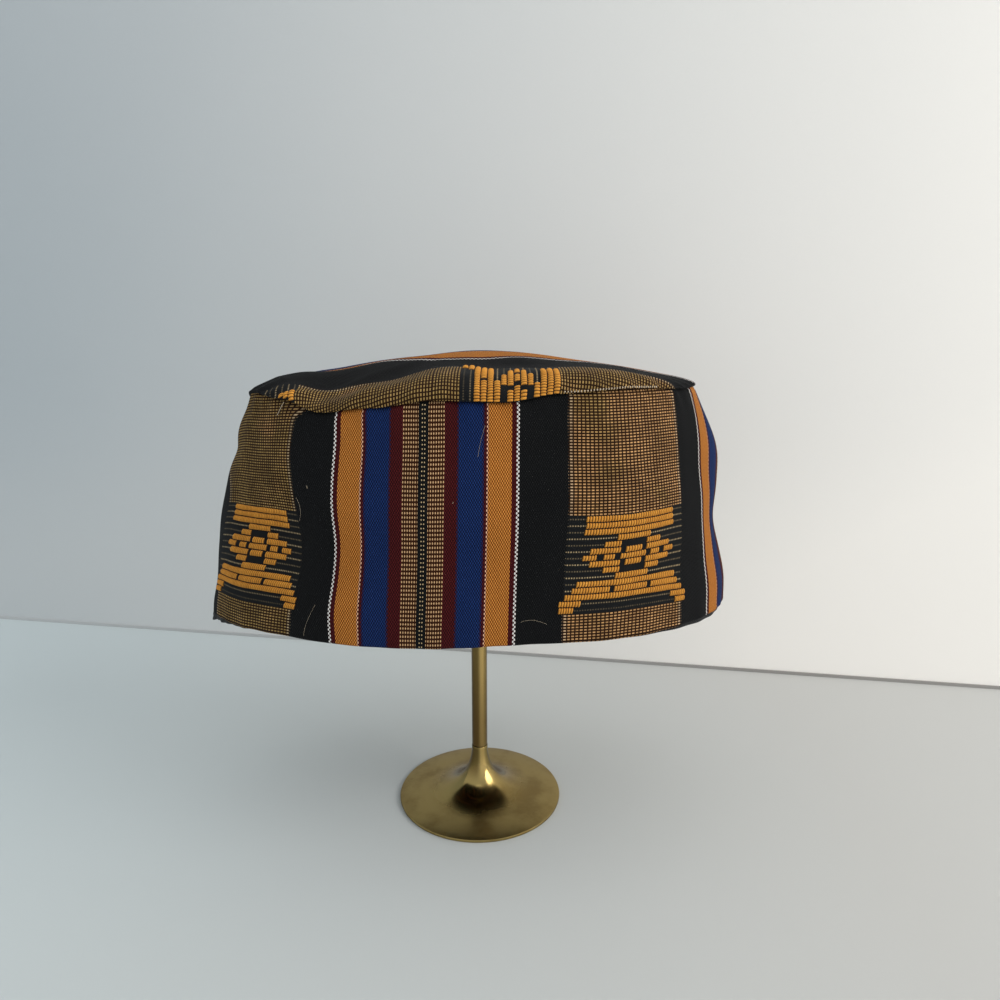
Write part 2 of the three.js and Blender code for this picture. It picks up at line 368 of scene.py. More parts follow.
def shoulder_spare(angle, station):
    """How much longer the cloth over the shoulder is than its plan."""
    bend = np.clip(station - 1, 0, 1) * np.pi / 2
    rise = SHOULDER_END_RISE + (SHOULDER_RISE - SHOULDER_END_RISE) * np.cos(angle) ** 2
    shares = np.linspace(0, 1, 17)
    bends = bend[..., None] * shares
    level = SHOULDER_REACH * np.cos(bends)
    pace = np.hypot(level, rise[..., None] * np.sin(bends)) - level
    return bend * np.mean((pace[..., 1:] + pace[..., :-1]) / 2, axis=-1)


def edge_normal(angle):
    normal = np.stack([np.sin(angle) / SEAM_HALF_LENGTH, -np.cos(angle) / SEAM_HALF_DEPTH], axis=-1)
    return normal / np.linalg.norm(normal, axis=-1, keepdims=True)


FRONT_SPARE = float(shoulder_spare(np.array([0.0]), np.array([2.0]))[0])
FRONT_EDGE = float(EDGE[len(TURNS) // 2, 1]) - FRONT_SPARE


def hidden_ripples(plan):
    """How much more cloth lies between the front seam and a place than its plan shows."""
    hidden = 0
    for along, wide, most in CROWN_GATHERS:
        hidden = hidden + most * hill((plan[..., 0] - along) / wide)
    return hidden * ease(np.clip((plan[..., 1] + 30) / 18, 0, 1))


def crown_cloth(angle, station):
    plan = crown_point(angle, station, 0)[..., :2]
    spread = plan + shoulder_spare(angle, station)[..., None] * edge_normal(angle)
    across = spread[..., 1] + hidden_ripples(plan) - FRONT_EDGE - CROWN_GROUP_MIDDLE
    return across, spread[..., 0] + CROWN_CLOTH_START


def crown_place(across, along):
    """The angle and station of a place on the cloth of the crown, found step by step."""
    wanted = np.stack(np.broadcast_arrays(across, along))
    x = wanted[1] - CROWN_CLOTH_START
    y = wanted[0] + CROWN_GROUP_MIDDLE + FRONT_EDGE
    bearing = np.arctan2(x, -y)
    angle = np.interp(bearing, EDGE_BEARINGS, TURNS)
    station = np.clip(np.hypot(x, y) / np.interp(bearing, EDGE_BEARINGS, EDGE_DISTANCES), 0.3, 1.5)
    step = 0.01
    for _ in range(14):
        found = np.stack(crown_cloth(angle, station))
        miss = found - wanted
        turned = (np.stack(crown_cloth(angle + step, station)) - found) / step
        moved = (found - np.stack(crown_cloth(angle, station - step))) / step
        scale = turned[0] * moved[1] - turned[1] * moved[0]
        turn = (miss[0] * moved[1] - miss[1] * moved[0]) / scale
        move = (turned[0] * miss[1] - turned[1] * miss[0]) / scale
        angle = angle - np.clip(turn, -0.2, 0.2)
        station = np.clip(station - np.clip(move, -0.3, 0.3), 0.2, 2)
    return angle, station


# Modelling helpers


def deselect():
    if bpy.context.object and bpy.context.object.mode != "OBJECT":
        bpy.ops.object.mode_set(mode="OBJECT")
    bpy.ops.object.select_all(action="DESELECT")


def named(name):
    piece = bpy.context.object
    piece.name = name
    piece.data.name = name
    return piece


def select_only(piece):
    deselect()
    piece.select_set(True)
    bpy.context.view_layer.objects.active = piece


def settle(piece):
    """Put a piece's place, turn and scale into its mesh."""
    select_only(piece)
    bpy.ops.object.transform_apply(location=True, rotation=True, scale=True)


def edit_whole(piece, work, **settings):
    """Do one thing to the whole mesh of a piece in edit mode."""
    select_only(piece)
    bpy.ops.object.mode_set(mode="EDIT")
    bpy.ops.mesh.select_all(action="SELECT")
    work(**settings)
    bpy.ops.object.mode_set(mode="OBJECT")


def face_outwards(piece):
    edit_whole(piece, bpy.ops.mesh.normals_make_consistent, inside=False)


def grid(columns, rows):
    """A flat sheet of faces, from -1 to 1 both ways."""
    deselect()
    bpy.ops.mesh.primitive_grid_add(x_subdivisions=columns, y_subdivisions=rows, size=2, calc_uvs=False)
    return bpy.context.object


def apply_modifier(piece, kind, **settings):
    modifier = piece.modifiers.new(kind.lower(), kind)
    for key, value in settings.items():
        setattr(modifier, key, value)
    bpy.context.view_layer.objects.active = piece
    bpy.ops.object.modifier_apply(modifier=modifier.name)


def smooth(piece, degrees=180):
    select_only(piece)
    bpy.ops.object.shade_smooth_by_angle(angle=math.radians(degrees))


def vertex_places(piece):
    places = np.empty(len(piece.data.vertices) * 3, dtype=np.float32)
    piece.data.vertices.foreach_get("co", places)
    return places.reshape(-1, 3).astype(float)


def move_vertices(piece, points):
    """Put every vertex of a piece at its own point, given in millimetres."""
    piece.data.vertices.foreach_set("co", (points.reshape(-1) * MM).astype(np.float32))
    piece.data.update()


def write_cloth_map(piece, across, along):
    """The piece's UV map: how far across and along the stripes each vertex lies, in metres."""
    mesh = piece.data
    corners = np.empty(len(mesh.loops), dtype=np.int32)
    mesh.loops.foreach_get("vertex_index", corners)
    layer = mesh.uv_layers.new(name="cloth")
    places = np.stack([across, along], axis=-1)[corners] * MM
    layer.data.foreach_set("uv", places.astype(np.float32).reshape(-1))
    mesh.uv_layers.active = layer
    layer.active_render = True


def finish_piece(piece, material, slot, *nodes):
    piece.data.materials.clear()
    piece.data.materials.append(material)
    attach(piece, "root")
    if nodes:
        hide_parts(*nodes)


# Shader helpers


def srgb(red, green, blue):
    def linear(level):
        share = level / 255
        return share / 12.92 if share <= 0.04045 else ((share + 0.055) / 1.055) ** 2.4

    return (linear(red), linear(green), linear(blue), 1)


class Value:
    """A node's output that is reckoned with like a number."""

    def __init__(self, socket):
        self.socket = socket
        self.tree = socket.id_data

    def __add__(self, other):
        return calc("ADD", self, other)

    def __sub__(self, other):
        return calc("SUBTRACT", self, other)

    def __rsub__(self, other):
        return calc("SUBTRACT", other, self)

    def __mul__(self, other):
        return calc("MULTIPLY", self, other)

    def __truediv__(self, other):
        return calc("DIVIDE", self, other)

    __radd__ = __add__
    __rmul__ = __mul__


def tree_of(*values):
    return next(value.tree for value in values if isinstance(value, Value))


def join(source, socket):
    if isinstance(source, Value):
        source.tree.links.new(source.socket, socket)
    else:
        socket.default_value = source


def calc(operation, *values):
    node = tree_of(*values).nodes.new("ShaderNodeMath")
    node.operation = operation
    for value, socket in zip(values, node.inputs):
        join(value, socket)
    return Value(node.outputs[0])


def blend(share, low, high, kind="MIX"):
    node = tree_of(share, low, high).nodes.new("ShaderNodeMix")
    node.data_type = "RGBA"
    node.blend_type = kind
    for value, name in ((share, "Factor_Float"), (low, "A_Color"), (high, "B_Color")):
        join(value, next(s for s in node.inputs if s.identifier == name))
    return Value(next(s for s in node.outputs if s.identifier == "Result_Color"))


def rise_between(value, low, high):
    """0 up to low, 1 from high on, and a smooth rise between them."""
    node = value.tree.nodes.new("ShaderNodeMapRange")
    node.interpolation_type = "SMOOTHSTEP"
    for source, name in ((value, "Value"), (low, "From Min"), (high, "From Max")):
        join(source, node.inputs[name])
    return Value(node.outputs["Result"])


def bands_of(position, rows):
    """A colour for each band of a distance: rows of where it starts, as a share, and its colour."""
    node = position.tree.nodes.new("ShaderNodeValToRGB")
    node.color_ramp.interpolation = "CONSTANT"
    for index, (start, colour) in enumerate(rows):
        stop = node.color_ramp.elements[index] if index < 2 else node.color_ramp.elements.new(start)
        stop.position = start
        stop.color = colour
    join(position, node.inputs["Fac"])
    return Value(node.outputs["Color"])


def noise(vector, scale, detail=2.0, roughness=0.5):
    node = vector.tree.nodes.new("ShaderNodeTexNoise")
    node.inputs["Detail"].default_value = detail
    node.inputs["Roughness"].default_value = roughness
    join(scale, node.inputs["Scale"])
    join(vector, node.inputs["Vector"])
    return Value(node.outputs["Fac"])


def object_place(tree):
    return Value(tree.nodes.new("ShaderNodeTexCoord").outputs["Object"])


def axes_of(vector):
    node = vector.tree.nodes.new("ShaderNodeSeparateXYZ")
    join(vector, node.inputs[0])
    return [Value(socket) for socket in node.outputs]


def flat_vector(x, y=0.0):
    node = x.tree.nodes.new("ShaderNodeCombineXYZ")
    join(x, node.inputs[0])
    join(y, node.inputs[1])
    return Value(node.outputs[0])


def chance_of(vector):
    """A chance value from 0 to 1 for each whole place."""
    node = vector.tree.nodes.new("ShaderNodeTexWhiteNoise")
    node.noise_dimensions = "2D"
    join(vector, node.inputs["Vector"])
    return Value(node.outputs["Value"])


def new_group(name, inputs, outputs):
    """An empty node group with named float inputs and named outputs."""
    tree = bpy.data.node_groups.new(name, "ShaderNodeTree")
    for label, value in inputs:
        socket = tree.interface.new_socket(label, in_out="INPUT", socket_type="NodeSocketFloat")
        socket.default_value = value
    for label, kind in outputs:
        tree.interface.new_socket(label, in_out="OUTPUT", socket_type=kind)
    given = {socket.name: Value(socket) for socket in tree.nodes.new("NodeGroupInput").outputs}
    return tree, given, tree.nodes.new("NodeGroupOutput").inputs


def place_group(tree, group, **values):
    node = tree.nodes.new("ShaderNodeGroup")
    node.node_tree = group
    for name, value in values.items():
        join(value, node.inputs[name.replace("_", " ").capitalize()])
    return {socket.name: Value(socket) for socket in node.outputs}


def new_material(name, roughness, metallic=0.0, sheen=0.0):
    material = bpy.data.materials.new(name)
    material.use_nodes = True
    tree = material.node_tree
    shader = tree.nodes["Principled BSDF"]
    shader.inputs["Roughness"].default_value = roughness
    shader.inputs["Metallic"].default_value = metallic
    shader.inputs["Sheen Weight"].default_value = sheen
    return material, tree, shader


def bump(height, strength, distance, shader):
    node = height.tree.nodes.new("ShaderNodeBump")
    node.inputs["Strength"].default_value = strength
    node.inputs["Distance"].default_value = distance
    join(height, node.inputs["Height"])
    join(Value(node.outputs["Normal"]), shader.inputs["Normal"])


# Colours

BLACK = srgb(23, 24, 25)
DEEP_BLACK = srgb(12, 12, 13)
MAROON = srgb(81, 22, 26)
DARK_MAROON = srgb(38, 10, 10)
BLUE = srgb(26, 52, 106)
DARK_BLUE = srgb(10, 18, 44)
GOLD = srgb(208, 138, 64)
DARK_GOLD = srgb(112, 54, 8)
PINK_GOLD = srgb(236, 182, 150)
VIOLET = srgb(46, 36, 74)
PALE = srgb(196, 172, 132)
WHITE = srgb(236, 232, 226)
CHECK_GOLD = srgb(204, 164, 120)
CHECK_GROUND = srgb(52, 25, 10)
PANEL_PINK = srgb(212, 162, 108)
PANEL_PALE = srgb(214, 196, 168)
PANEL_GOLD = srgb(180, 148, 90)
PANEL_GROUND = srgb(38, 21, 9)
FLOAT_GOLD = srgb(220, 152, 58)
FLOAT_SHADE = srgb(174, 108, 34)
# Painted shade in the grooves between the floats' ribs
FLOAT_GROOVE_SHADE = srgb(48, 24, 4)
BRASS_BRIGHT = srgb(164, 143, 90)
BRASS_OLIVE = srgb(142, 120, 72)
# Painted highlight down the stem, where the window would be reflected
BRASS_PAINTED_HIGHLIGHT = srgb(202, 172, 108)
# Painted shade on the stem's side away from the window
BRASS_PAINTED_SHADE = srgb(114, 94, 54)
BRASS_DARK = srgb(96, 66, 38)
# Painted shade where the brass turns away from the eye
BRASS_TURNED_AWAY_SHADE = srgb(96, 76, 42)
LINT_SOILED = srgb(146, 122, 90)
LINT_CLEAN = srgb(232, 218, 196)
# Ends of painted-light gradients: each board runs from its left colour to its right colour as the light falls
# on it
TABLE_LEFT = srgb(214, 226, 228)
TABLE_RIGHT = srgb(190, 190, 187)
WALL_LEFT = srgb(183, 190, 194)
WALL_RIGHT = srgb(252, 248, 242)
# Painted shadow along the wall's foot, darker on the right
SHADOW_STRIP_LEFT = srgb(206, 209, 210)
SHADOW_STRIP_RIGHT = srgb(150, 147, 143)

# The white chain at each edge of a stripe group: two threads, each a little thicker than the others
CHAIN_START = 35.1
CHAIN_THREAD = 0.54

# The stripes, outwards from the middle of a group: where each starts, the colours of its odd and even
# warp threads, and what shows between them
STRIPES = [
    (0, PALE, BLACK, DEEP_BLACK),
    (0.72, BLACK, BLACK, DEEP_BLACK),
    (1.68, CHECK_GROUND, CHECK_GOLD, CHECK_GROUND),
    (7.92, MAROON, MAROON, DARK_MAROON),
    (12.5, VIOLET, VIOLET, DARK_MAROON),
    (13.2, BLUE, BLUE, DARK_BLUE),
    (22.1, VIOLET, VIOLET, DARK_BLUE),
    (22.6, MAROON, MAROON, DARK_MAROON),
    (23.76, PINK_GOLD, PINK_GOLD, DARK_MAROON),
    (24.24, GOLD, GOLD, DARK_GOLD),
    (33, MAROON, MAROON, DARK_MAROON),
    (CHAIN_START, BLACK, BLACK, DEEP_BLACK),
]


def weave_group():
    """Warp threads that pass over and under the weft: how far up a thread lies at a place."""
    tree, given, result = new_group(
        "warp weave",
        [("Across", 0), ("Along", 0), ("Thread", THREAD), ("Pick", PICK), ("Float", WARP_FLOAT)],
        [("Thread up", "NodeSocketFloat"), ("Odd", "NodeSocketFloat"), ("Height", "NodeSocketFloat")],
    )
    count = given["Across"] / given["Thread"] + 0.5
    number = calc("FLOOR", count)
    odd = calc("PINGPONG", number, 1)
    turn = given["Along"] / given["Pick"] + odd * 0.5
    from_crest = calc("ABSOLUTE", calc("FRACT", turn) - 0.5)
    round_thread = calc("SINE", calc("FRACT", count) * math.pi)
    reach = from_crest + (1 - round_thread) * 0.12
    up = 1 - rise_between(reach, given["Float"] - 0.07, given["Float"] + 0.07)
    join(up, result["Thread up"])
    join(odd, result["Odd"])
    join(up * round_thread, result["Height"])
    return tree


def dash_group():
    """Short dashes of gold weft in straight rows and columns, some brighter than others."""
    tree, given, result = new_group(
        "weft dashes",
        [
            ("Across", 0),
            ("Along", 0),
            ("Column", PANEL_COLUMN),
            ("Row", PANEL_ROW),
            ("Length", 0.34),
            ("Width", 0.25),
        ],
        [("Mask", "NodeSocketFloat")],
    )
    cell = []
    sides = []
    for position, pitch, half in (("Across", "Column", "Length"), ("Along", "Row", "Width")):
        count = given[position] / given[pitch]
        cell.append(calc("FLOOR", count))
        off = calc("ABSOLUTE", calc("FRACT", count) - 0.5)
        sides.append(1 - rise_between(off, given[half] - 0.1, given[half] + 0.06))
    bright = 0.6 + chance_of(flat_vector(*cell)) * 0.4
    join(sides[0] * sides[1] * bright, result["Mask"])
    return tree


def stripe_colour(tree, weave, out, along):
    """The stripes between the panels: their colour, and how high their threads stand."""
    share = out / HALF_REPEAT
    centre = calc("LESS_THAN", out, STRIPES[1][0])
    float_share = WARP_FLOAT - centre * 0.1
    threads = place_group(tree, weave, across=out, along=along, float=float_share)
    odd_colour, even_colour, between = [
        bands_of(share, [(row[0] / HALF_REPEAT, row[column]) for row in STRIPES])
        for column in (1, 2, 3)
    ]
    warp = blend(threads["Odd"], even_colour, odd_colour)
    return blend(threads["Thread up"], between, warp), threads["Height"]


def chained(tree, weave, out, along, striped):
    """The stripes with the white chain laid along each edge of their group."""
    from_chain = out - CHAIN_START
    in_chain = calc("COMPARE", from_chain, CHAIN_THREAD, CHAIN_THREAD)
    middle = from_chain - CHAIN_THREAD / 2
    chain = place_group(tree, weave, across=middle, along=along, thread=CHAIN_THREAD, float=0.29)
    return blend(in_chain, striped, blend(chain["Thread up"], DARK_MAROON, WHITE))


def motif_share(up):
    """1 in the rows of the motif, 0 above and below them."""
    seat = MOTIF_FEET + len(MOTIF_ROWS) * MOTIF_ROW
    above_feet = rise_between(up, MOTIF_FEET - 0.3, MOTIF_FEET)
    above_seat = rise_between(up, seat, seat + 0.3)
    return above_feet - above_seat


def outside_floats(inside, from_feet):
    """1 beside the floats of the motif's row at a place, 0 where that row has its floats."""
    extents = [spans[-1][1] * MOTIF_COLUMN / WIDEST_ROW for spans in MOTIF_ROWS[::-1]]
    steps = [(index / len(extents), (extent, extent, extent, 1)) for index, extent in enumerate(extents)]
    nearest = bands_of(from_feet / (len(extents) * MOTIF_ROW), steps)
    return calc("GREATER_THAN", inside / WIDEST_ROW, nearest)


def dotted_lines(tree, dashes, inside, up):
    """Thin dotted lines beside the motif's floats and between its feet, every second one stronger."""
    from_feet = up - MOTIF_FEET
    thin = place_group(
        tree, dashes, across=inside, along=from_feet, column=0.98, row=MOTIF_ROW, length=0.3, width=0.11
    )["Mask"]
    row_number = calc("FLOOR", from_feet / MOTIF_ROW)
    strong = 0.3 + calc("PINGPONG", row_number, 1) * 0.5
    between_feet = calc("LESS_THAN", from_feet, 2 * MOTIF_ROW) * 0.5
    return thin * strong * calc("MAXIMUM", outside_floats(inside, from_feet), between_feet)


def dash_colours(inside, across, place):
    """The weft dashes' colour: from pink to olive gold along the cloth, paler at the panel's edge."""
    dyed = noise(place, 0.05, 1) - across * 0.002
    colour = blend(rise_between(dyed, 0.35, 0.65), PANEL_PINK, PANEL_GOLD)
    at_edge = rise_between(inside, PANEL_HALF_WIDTH - 2.4, PANEL_HALF_WIDTH - 1.4)
    return blend(at_edge * 0.45, colour, PANEL_PALE)


def panel_colour(tree, dashes, out, across, along, place):
    """The panel with the motif: its colour, and how high its dashes stand."""
    inside = HALF_REPEAT - out
    up = calc("MODULO", along + MOTIF_REPEAT, MOTIF_REPEAT)
    in_motif = motif_share(up)
    check = place_group(tree, dashes, across=inside, along=up)["Mask"]
    line = dotted_lines(tree, dashes, inside, up)
    bright = 0.7 + rise_between(noise(place, 0.09), 0.3, 0.7) * 0.3
    checked = blend(check * bright, PANEL_GROUND, dash_colours(inside, across, place))
    colour = blend(in_motif, checked, blend(line, BLACK, PALE))
    return colour, check * (1 - in_motif) + line


def worn(colour, place):
    """A colour a little dulled in flecks and broad patches."""
    fleck = noise(place, 1.6, 3)
    broad = noise(place, 0.045, 2)
    tone = 0.76 + (fleck + broad) * 0.24
    grey = colour.tree.nodes.new("ShaderNodeCombineColor")
    for socket in grey.inputs:
        join(tone, socket)
    return blend(1, colour, Value(grey.outputs[0]), "MULTIPLY")


def cloth_group(weave, dashes):
    """The striped and brocaded cloth: its colour and the height of its threads."""
    tree, given, result = new_group(
        "striped brocade cloth",
        [("Across", 0), ("Along", 0)],
        [("Colour", "NodeSocketColor"), ("Height", "NodeSocketFloat")],
    )
    across = given["Across"]
    along = given["Along"]
    place = flat_vector(across, along)
    out = calc("PINGPONG", across, HALF_REPEAT)
    striped, stripe_height = stripe_colour(tree, weave, out, along)
    striped = chained(tree, weave, out, along, striped)
    panel, panel_height = panel_colour(tree, dashes, out, across, along, place)
    panel_edge = HALF_REPEAT - PANEL_HALF_WIDTH
    wander = calc("SINE", along * 5.1) * 0.3
    in_panel = rise_between(out + wander, panel_edge - 0.15, panel_edge + 0.15)
    join(worn(blend(in_panel, striped, panel), place), result["Colour"])
    height = tree.nodes.new("ShaderNodeMix")
    for source, socket in ((in_panel, 0), (stripe_height, 2), (panel_height, 3)):
        join(source, height.inputs[socket])
    join(Value(height.outputs[0]), result["Height"])
    return tree


WEAVE = weave_group()
DASHES = dash_group()
CLOTH = cloth_group(WEAVE, DASHES)


def cloth_places(tree):
    """Across and along the cloth in millimetres, from the piece's own map."""
    source = tree.nodes.new("ShaderNodeUVMap")
    source.uv_map = "cloth"
    return [axis * (1 / MM) for axis in axes_of(Value(source.outputs["UV"]))[:2]]


def brocade_cotton():
    material, tree, shader = new_material("striped brocade cotton", roughness=0.88, sheen=0.03)
    across, along = cloth_places(tree)
    cloth = place_group(tree, CLOTH, across=across, along=along)
    join(cloth["Colour"], shader.inputs["Base Color"])
    shader.inputs["Specular IOR Level"].default_value = 0.06
    bump(cloth["Height"], 0.7, 0.25 * MM, shader)
    return material


def float_cotton():
    """Thick gold yarn of the motif's floats, twisted like rope, with painted shade in the grooves between its
    ribs.
    """
    material, tree, shader = new_material("gold brocade yarn", roughness=0.75, sheen=0.03)
    across, along = cloth_places(tree)
    turn = across / MOTIF_COLUMN
    row = calc("FLOOR", along / MOTIF_ROW)
    dye = chance_of(flat_vector(calc("FLOOR", turn), row))
    from_crest = calc("ABSOLUTE", calc("FRACT", turn) - 0.5)
    # Painted shade between the ribs of each float
    groove_shade = rise_between(from_crest, 0.2, 0.5)
    slant = across + along * 0.5
    fibres = calc("SINE", slant * 24)
    tone = 0.55 + dye * 0.4
    tone = tone + fibres * 0.1
    yarn = blend(tone, FLOAT_SHADE, FLOAT_GOLD)
    colour = blend(groove_shade * 0.9, yarn, FLOAT_GROOVE_SHADE)
    join(colour, shader.inputs["Base Color"])
    shader.inputs["Specular IOR Level"].default_value = 0.2
    bump(fibres, 0.35, 0.06 * MM, shader)
    return material


def facing_cotton():
    material, tree, shader = new_material("black facing cotton", roughness=0.92, sheen=0.05)
    across, along = cloth_places(tree)
    threads = place_group(tree, WEAVE, across=across, along=along, thread=0.6, pick=1.2)
    join(blend(threads["Thread up"], DEEP_BLACK, BLACK), shader.inputs["Base Color"])
    bump(threads["Height"], 0.6, 0.15 * MM, shader)
    return material


def pale_thread():
    """Undyed cotton thread, a little soiled."""
    material, tree, shader = new_material("pale cotton thread", roughness=0.85, sheen=0.05)
    soil = noise(object_place(tree), 700)
    join(blend(soil, LINT_SOILED, LINT_CLEAN), shader.inputs["Base Color"])
    bump(soil, 0.3, 0.03 * MM, shader)
    return material


def distance_from_axis(tree):
    """How far a point of the stand is from its middle, in metres."""
    x, y, _ = axes_of(object_place(tree))
    return calc("SQRT", x * x + y * y)


def tarnish_group():
    """Patches and fine turning marks of old brass."""
    tree, given, result = new_group(
        "tarnished brass",
        [("Turning", 1400.0), ("Patches", 60.0)],
        [("Tarnish", "NodeSocketFloat"), ("Marks", "NodeSocketFloat")],
    )
    where = object_place(tree)
    ring = distance_from_axis(tree) + axes_of(where)[2] * 0.7
    marks = noise(flat_vector(ring * given["Turning"]), 1.0, 3)
    patches = noise(where, given["Patches"], 5, roughness=0.6)
    join(rise_between(patches, 0.4, 0.68), result["Tarnish"])
    join(marks, result["Marks"])
    return tree


TARNISH = tarnish_group()


def stem_light_and_shade(tree, axis_gap):
    """Three masks of the slim part of the stand: a painted highlight band, painted shade on its side away
    from the window, and a darkening low down.
    """
    x, _, z = axes_of(object_place(tree))
    slim = rise_between(axis_gap, 9 * MM, 4.5 * MM)
    side = x / axis_gap
    # Painted highlight: a bright band down the stem where the window would be reflected
    painted_highlight = rise_between(side, -0.2, 0.2) * rise_between(side, 0.8, 0.4)
    above_joint = rise_between(z, 26.1 * MM, 26.6 * MM)
    low = rise_between(z, 80 * MM, 34 * MM) * above_joint
    # Painted shade on the side of the stem away from the window
    painted_side_shade = rise_between(side, 0.25, -0.35)
    return [slim * mask for mask in (painted_highlight, painted_side_shade, low)]


def old_brass():
    """Polished brass, tarnished olive in patches, with painted shade where it turns away from the eye and a
    painted highlight and painted shade on the stem.
    """
    material, tree, shader = new_material("old brass", roughness=0.2, metallic=1.0)
    wear = place_group(tree, TARNISH)
    axis_gap = distance_from_axis(tree)
    painted_highlight, painted_side_shade, low = stem_light_and_shade(tree, axis_gap)
    colour = blend(wear["Tarnish"], BRASS_BRIGHT, BRASS_OLIVE)
    # Painted highlight and painted shade on the stem, then a darkening low down
    colour = blend(painted_highlight, colour, BRASS_PAINTED_HIGHLIGHT)
    colour = blend(painted_side_shade, colour, BRASS_PAINTED_SHADE)
    colour = blend(low * 0.45, colour, BRASS_DARK)
    # Painted shade: darker where the surface turns away from the eye
    turning = tree.nodes.new("ShaderNodeLayerWeight")
    turning.inputs["Blend"].default_value = 0.45
    shade = rise_between(Value(turning.outputs["Facing"]), 0.35, 1)
    join(blend(shade, colour, BRASS_TURNED_AWAY_SHADE), shader.inputs["Base Color"])
    # The disc is duller than the polished flare and stem
    rough = rise_between(axis_gap, 16 * MM, 26 * MM) * 0.16
    for mark, share in (("Tarnish", 0.1), ("Marks", 0.05)):
        rough = rough + wear[mark] * share
    join(rough + 0.12, shader.inputs["Roughness"])
    bump(wear["Marks"], 0.1, 0.03 * MM, shader)
    return material


BROCADE = brocade_cotton()
FLOATS = float_cotton()
FACING = facing_cotton()
LINT = pale_thread()
BRASS = old_brass()

# The brass stand

SPIN_SIDES = 128
foot_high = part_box("stand_foot")[1]
stem_low, stem_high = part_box("stand_stem")
head_low, head_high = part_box("stand_head")
FOOT_EDGE_HEIGHT = 1.4 * MM
FOOT_TOP = 2.4 * MM
FLARE_RADIUS = 31 * MM
FLARE_STEPS = 24
HEAD_UNDERSIDE = 7.2 * MM
HEAD_DOME = 3.5 * MM
STEM_SPARE = 0.1 * MM  # how far the stem stands out past its solid
NECK_SPARE = 0.16 * MM  # and the top of the flare, just past the stem


def spun(name, rings):
    """A brass piece drawn up ring by ring from a disc. rings are pairs of radius and height."""
    deselect()
    radius, height = rings[0]
    bpy.ops.mesh.primitive_circle_add(
        vertices=SPIN_SIDES, radius=radius, fill_type="NGON", location=(0, 0, height)
    )
    piece = named(name)
    settle(piece)
    bpy.ops.object.mode_set(mode="EDIT")
    bpy.ops.mesh.select_all(action="SELECT")
    for next_radius, next_height in rings[1:]:
        lift = (0, 0, next_height - height)
        bpy.ops.mesh.extrude_region_move(TRANSFORM_OT_translate={"value": lift})
        scale = next_radius / radius
        bpy.ops.transform.resize(value=(scale, scale, 1), center_override=(0, 0, next_height))
        radius, height = next_radius, next_height
    bpy.ops.object.mode_set(mode="OBJECT")
    face_outwards(piece)
    smooth(piece, 40)
    return piece


def brass_foot():
    edge = foot_high[0]
    neck = stem_high[0] + NECK_SPARE
    top = foot_high[2]
    rings = [
        (edge - 0.5 * MM, 0),
        (edge - 0.1 * MM, 0.15 * MM),
        (edge, 0.5 * MM),
        (edge, FOOT_EDGE_HEIGHT - 0.4 * MM),
        (edge - 0.15 * MM, FOOT_EDGE_HEIGHT - 0.1 * MM),
        (edge - 0.6 * MM, FOOT_EDGE_HEIGHT),
        (edge - 4 * MM, FOOT_EDGE_HEIGHT + 0.4 * MM),
    ]
    for step in range(1, FLARE_STEPS + 1):
        share = 1 - step / FLARE_STEPS
        height = FOOT_TOP + (top - FOOT_TOP) * (1 - share) ** 2
        rings.append((neck + (FLARE_RADIUS - neck) * share**2, height))
    rings[-1] = (neck + 0.06 * MM, top - 0.12 * MM)
    rings.append((neck, top))
    return spun("brass_foot", rings)


def brass_stem():
    radius = stem_high[0] + STEM_SPARE
    low = stem_low[2]
    high = stem_high[2]
    rings = [(radius - 0.1 * MM, low), (radius, low + 0.1 * MM)]
    rings += [(radius, low + (high - low) * step / 12) for step in range(1, 12)]
    rings += [(radius, high - 0.2 * MM), (radius - 0.3 * MM, high)]
    return spun("brass_stem", rings)


def brass_head():
    radius = head_high[0]
    rings = [(HEAD_UNDERSIDE, head_low[2])]
    side_rise = head_high[2] - HEAD_DOME - head_low[2]
    for step in range(1, 9):
        turn = step / 8 * math.pi / 2
        spread = HEAD_UNDERSIDE + (radius - HEAD_UNDERSIDE) * math.sin(turn)
        rings.append((spread, head_low[2] + side_rise * (1 - math.cos(turn))))
    for step in range(1, 9):
        share = 1 - step / 8.5
        rings.append((radius * share, head_high[2] - HEAD_DOME * share**2))
    return spun("brass_head", rings)


finish_piece(brass_foot(), BRASS, "brass", "stand_foot")
finish_piece(brass_stem(), BRASS, "brass", "stand_stem")
finish_piece(brass_head(), BRASS, "brass", "stand_head")

# The cloth of the cap

BAND_COLUMNS = 576
FACING_COLUMNS = 360
CROWN_COLUMNS = 230
CROWN_ROWS = 130
CROWN_THICKNESS = 1.5
SEAM_STATION = 1.985  # floats of the crown stop here, just short of the seam
RIB_FACES = 6  # along and round each rib of a float
STITCH_TURNS = np.arange(23.5, 51, 0.8)  # degrees round the seam
STITCH_RADIUS = 0.27 * MM


def ring_rows(low, high, outer, inner, face_rows, back_rows, round_rows):
    """The rows round a ring of cloth: level and inset, up its face, over, down its back and under."""
    rows = [(low + (high - low) * i / (face_rows - 1), outer) for i in range(face_rows)]
    half = (inner - outer) / 2
    for i in range(1, round_rows):
        turn = math.pi * i / round_rows
        rows.append((high + 0.5 * half * math.sin(turn) / WALL_HEIGHT, outer + half - half * math.cos(turn)))
    rows += [(high - (high - low) * i / (back_rows - 1), inner) for i in range(back_rows)]
    for i in range(1, round_rows):
        turn = math.pi * i / round_rows
        rows.append((low - half * math.sin(turn) / WALL_HEIGHT, outer + half + half * math.cos(turn)))
    return rows


